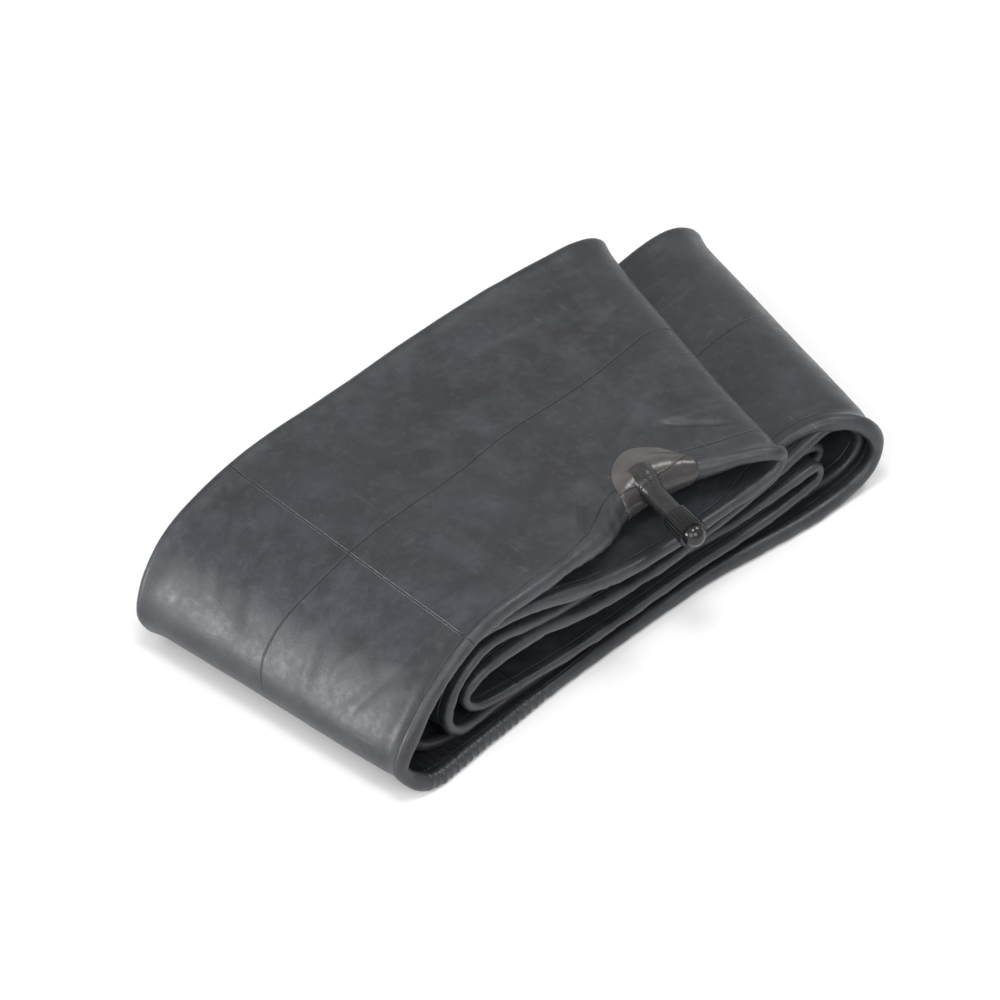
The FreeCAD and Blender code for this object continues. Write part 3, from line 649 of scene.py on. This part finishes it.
def tube_material():
    s = Shade("tube_rubber_look", (0.05, 0.052, 0.058), 0.4)
    broad, middle, fine = s.noise(22, 3, 0.55), s.noise(75, 5, 0.65), s.noise(330, 3, 0.6)
    scuff = s.noise(420, 3, 0.7, (0.16, 1.0, 0.5), 0.8)
    scratch = s.noise(700, 2, 0.5, (1.0, 0.05, 0.6), 0.3)
    grain = s.noise(1500, 2, 0.5)
    mid = s.line(s.read("mid_seam"), 0.12, 0.3)
    edge = s.line(s.read("edge_seam"), 0.1, 0.28)
    splice_line = s.line(s.read("splice"), 0.12, 0.3)
    color = s.mix(s.ramp(broad, 0.3, 0.7), (0.018, 0.0182, 0.021), (0.028, 0.032, 0.0375))
    color = s.mix(s.ramp(middle, 0.45, 0.75, 0, 0.7), color, (0.045, 0.052, 0.060))
    color = s.mix(s.ramp(fine, 0.55, 0.8, 0, 0.3), color, (0.06, 0.064, 0.07))
    patches = s.ramp(broad, 0.42, 0.62)
    color = s.mix(s.math("MULTIPLY", s.ramp(scuff, 0.6, 0.78, 0, 0.5), patches),
                  color, (0.075, 0.08, 0.086))
    scratched = s.math("MULTIPLY", s.ramp(scratch, 0.68, 0.76, 0, 0.55),
                       s.ramp(middle, 0.45, 0.6))
    color = s.mix(scratched, color, (0.1, 0.105, 0.11))
    # Light, broken lines just beside the seams and the splices: a painted highlight where their
    # ridges catch the light. The noise only breaks the highlight up.
    seam_highlight_breakup = s.ramp(s.noise(60, 3, 0.6), 0.36, 0.62, 0.1, 0.6)
    lines = s.math("MAXIMUM", mid, s.math("MAXIMUM", edge, splice_line))
    beside = s.math("MAXIMUM", s.line(s.math("SUBTRACT", s.read("mid_seam"), 0.45), 0.03, 0.3),
                    s.math("MAXIMUM",
                           s.line(s.math("SUBTRACT", s.read("edge_seam"), 0.45), 0.03, 0.3),
                           s.line(s.math("SUBTRACT", s.read("splice"), 0.4), 0.03, 0.25)))
    color = s.mix(s.math("MULTIPLY", beside, seam_highlight_breakup), color, (0.11, 0.115, 0.12))
    color = s.mix(s.math("MULTIPLY", lines, 0.8), color, (0.008, 0.008, 0.009))
    rough = s.ramp(middle, 0.3, 0.7, 0.33, 0.47)
    rough = s.math("ADD", rough, s.ramp(fine, 0.3, 0.7, -0.05, 0.07))
    shape = s.bump(broad, 0.0006)
    shape = s.bump(middle, 0.00013, shape)
    shape = s.bump(scuff, 0.00002, shape)
    shape = s.bump(grain, 0.00004, shape)
    shape = s.bump(s.math("SUBTRACT", s.math("MULTIPLY", beside, 0.6), lines), 0.00025, shape)
    return s.finish(color, rough, shape)


def rubber_material(name, dark, light, rough_low, rough_high, size, bump):
    s = Shade(name, dark, rough_low)
    broad, fine = s.noise(size, 4, 0.6), s.noise(size * 7, 3, 0.6)
    color = s.mix(s.ramp(broad, 0.35, 0.7), dark, light)
    rough = s.ramp(fine, 0.3, 0.7, rough_low, rough_high)
    return s.finish(color, rough, s.bump(fine, bump, s.bump(broad, bump * 3)))


def patch_material():
    s = Shade("patch_look", (0.05, 0.046, 0.045), 0.24)
    broad, fine = s.noise(60, 3, 0.6), s.noise(700, 3, 0.6)
    # The patch is lighter above its seam. This is partly its own two-tone colour and partly a
    # painted highlight.
    upper_tone_and_highlight = s.ramp(s.read("seam"), -2.0, 6.0)
    color = s.mix(s.ramp(broad, 0.35, 0.7), (0.034, 0.031, 0.031), (0.050, 0.047, 0.046))
    color = s.mix(s.math("MULTIPLY", upper_tone_and_highlight, s.ramp(broad, 0.3, 0.65, 0.3, 0.9)), color,
                  (0.100, 0.091, 0.087))
    groove = s.line(s.read("seam"), 0.1, 0.25)
    edge = s.line(s.math("SUBTRACT", s.read("seam"), 0.4), 0.03, 0.25)
    color = s.mix(s.math("MULTIPLY", edge, 0.5), color, (0.17, 0.16, 0.15))
    color = s.mix(s.math("MULTIPLY", groove, 0.8), color, (0.01, 0.01, 0.01))
    shape = s.bump(s.math("SUBTRACT", s.math("MULTIPLY", edge, 0.6), groove), 0.0002,
                   s.bump(fine, 0.000015, s.bump(broad, 0.0002)))
    return s.finish(color, s.ramp(fine, 0.3, 0.7, 0.2, 0.32), shape)


def metal_material(name, dark, light, rough_low, rough_high, size):
    s = Shade(name, dark, rough_low, metallic=1.0)
    broad = s.noise(size, 4, 0.6)
    turned = s.noise(size * 2, 2, 0.5, (6, 6, 6))
    return s.finish(s.mix(s.ramp(broad, 0.3, 0.7), dark, light),
                    s.ramp(turned, 0.3, 0.7, rough_low, rough_high), s.bump(turned, 0.00001))


def give(piece, material):
    if not piece.material_slots:
        piece.data.materials.append(material)
        return
    for holder in piece.material_slots:
        holder.material = material


give(tube, tube_material())
give(patch, patch_material())
give(hub, rubber_material("hub_look", (0.020, 0.019, 0.019), (0.036, 0.034, 0.034),
                          0.16, 0.3, 260, 0.00005))
give(cover, rubber_material("stem_cover_look", (0.016, 0.016, 0.017), (0.027, 0.027, 0.028),
                            0.2, 0.34, 260, 0.00002))
brass = metal_material("stem_brass_look", (0.62, 0.44, 0.2), (0.74, 0.56, 0.3), 0.22, 0.4, 600)
core = metal_material("core_brass_look", (0.7, 0.5, 0.24), (0.8, 0.62, 0.34), 0.16, 0.3, 700)
give(nodes["stem_body"], brass)
for name in ("core_plug", "core_barrel", "core_pin", "spring_cup", "poppet_cup"):
    give(nodes[name], core)
give(spring, metal_material("spring_look", (0.5, 0.5, 0.51), (0.62, 0.62, 0.63),
                            0.15, 0.3, 900))
give(nodes["barrel_gasket"], rubber_material("gasket_look", (0.45, 0.05, 0.025),
                                             (0.55, 0.08, 0.04), 0.35, 0.5, 900, 0.00001))
seal = rubber_material("seal_look", (0.02, 0.02, 0.02), (0.03, 0.03, 0.03), 0.45, 0.6, 900,
                       0.00001)
give(nodes["poppet_seal"], seal)
give(nodes["cap_washer"], seal)
give(nodes["valve_cap"], rubber_material("cap_look", (0.008, 0.008, 0.009),
                                         (0.013, 0.013, 0.014), 0.1, 0.2, 500, 0.000004))


# ------------------------------------------------------- floor, light, camera

floor = make_mesh("floor", np.array([(-6, -6, 0), (6, -6, 0), (6, 6, 0), (-6, 6, 0)]),
                  [(0, 1, 2, 3)], False)
pale = Shade("floor_look", (0.9, 0.9, 0.9), 0.7, specular=0.1)
give(floor, pale.finish(pale.mix(pale.noise(3, 2), (0.89, 0.89, 0.89), (0.91, 0.91, 0.91))))

world = bpy.data.worlds.new("studio")
world.use_nodes = True
background = world.node_tree.nodes["Background"]
background.inputs["Color"].default_value = (1, 1, 1, 1)
background.inputs["Strength"].default_value = 0.58
bpy.context.scene.world = world
bpy.context.scene.view_settings.view_transform = "Standard"


def aim(piece, at, target):
    piece.location = at
    piece.rotation_euler = (Vector(target) - Vector(at)).to_track_quat("-Z", "Y").to_euler()


def softbox(name, at, size, watts):
    lamp = bpy.data.lights.new(name, "AREA")
    lamp.shape = "RECTANGLE"
    lamp.size, lamp.size_y = size
    lamp.energy = watts
    piece = bpy.data.objects.new(name, lamp)
    bpy.context.scene.collection.objects.link(piece)
    aim(piece, at, (0, 0, 0.02))


for lamp_name, lamp_at, lamp_size, lamp_watts in (
        ("key", (-1.7, 0.95, 0.5), (0.8, 0.6), 21),
        ("side", (-1.6, -0.5, 1.1), (1.2, 1.2), 12),
        ("front", (-0.7, -1.7, 1.5), (1.2, 1.2), 16),
        ("top", (-0.35, -0.2, 2.4), (0.7, 0.7), 15),
        ("right", (1.25, -0.3, 1.9), (0.6, 0.6), 12)):
    softbox(lamp_name, lamp_at, lamp_size, lamp_watts)

CAMERA_AWAY, CAMERA_LENS = 10.0, 972      # metres, and millimetres
target = np.array([-11.7, 2.8, 30.0]) * MM
back = np.array([-0.5525, -0.5225, 0.6494])      # direction from the target to the camera
camera = bpy.data.objects.new("camera", bpy.data.cameras.new("camera"))
camera.data.lens = CAMERA_LENS
camera.data.sensor_width = 36
camera.data.clip_end = 50
bpy.context.scene.collection.objects.link(camera)
aim(camera, tuple(target + back * CAMERA_AWAY), tuple(target))
bpy.context.scene.camera = camera
